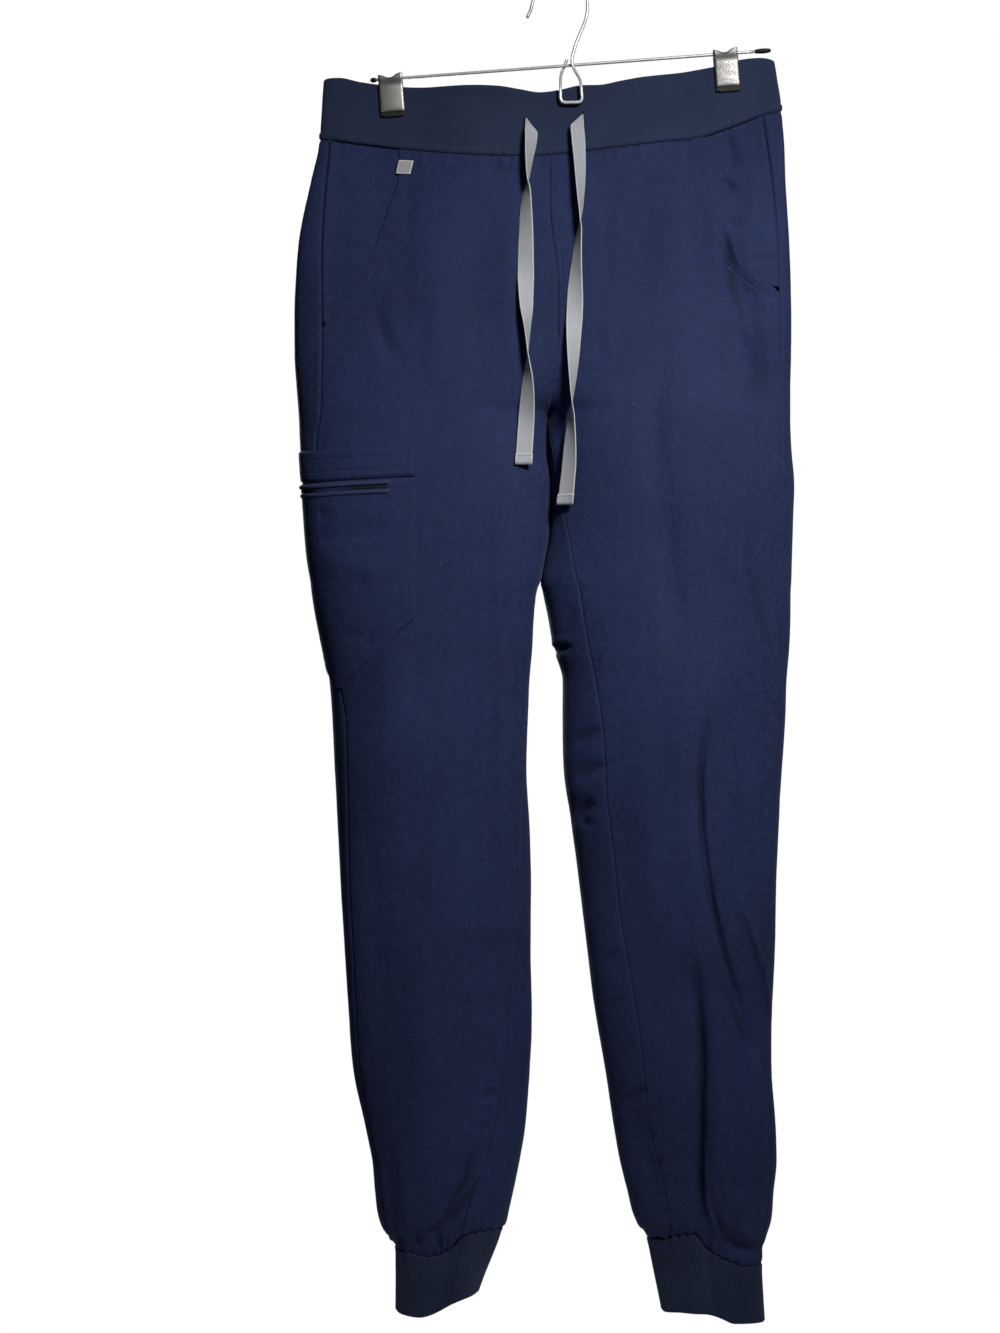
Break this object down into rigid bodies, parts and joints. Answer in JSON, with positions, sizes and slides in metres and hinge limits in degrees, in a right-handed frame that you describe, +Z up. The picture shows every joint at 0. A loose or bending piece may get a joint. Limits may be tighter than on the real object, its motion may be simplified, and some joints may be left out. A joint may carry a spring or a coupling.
{
  "type": "scrub joggers on a clip hanger",
  "caption": "Hollow jogger trousers with hip and cargo pockets, knit waistband and cuffs, held by the waistband in two clips on a wire hanger that hooks over a rail.",
  "frame": {"origin": "inside top of the hanger's hook, where a rail holds it", "axes": "+Z up, +X to the viewer's right (the wearer's left), +Y away from the viewer, so the garment's front faces -Y"},
  "size_m": [0.3942, 0.1017, 1.0647],
  "materials": {
    "woven_navy": "matt twill",
    "knit_navy": "fine rib knit",
    "zip_tape": "zip tape",
    "drawstring_grey": "twill tape",
    "label_grey": "woven label",
    "wire_steel": "polished wire",
    "clip_steel": "brushed",
    "black_vinyl": "matt"
  },
  "bodies": {
    "root": {"waistband": "knit_navy", "front_left": "woven_navy", "front_right": "woven_navy", "back_left": "woven_navy", "back_right": "woven_navy", "pocket_facing_left": "woven_navy", "pocket_facing_right": "woven_navy", "cargo_body": "woven_navy", "cargo_band": "woven_navy", "cargo_lip_top": "woven_navy", "cargo_lip_bottom": "woven_navy", "cargo_zip": "zip_tape", "cuff_left": "knit_navy", "cuff_right": "knit_navy", "drawstring_left": "drawstring_grey", "drawstring_right": "drawstring_grey", "label": "label_grey", "hanger_hook": "wire_steel", "hanger_bar": "wire_steel", "hanger_tip_left": "black_vinyl", "hanger_tip_right": "black_vinyl", "clip_left_front": "clip_steel", "clip_left_back": "clip_steel", "clip_right_front": "clip_steel", "clip_right_back": "clip_steel", "pad_left_front": "black_vinyl", "pad_left_back": "black_vinyl", "pad_right_front": "black_vinyl", "pad_right_back": "black_vinyl"}
  },
  "joints": []
}
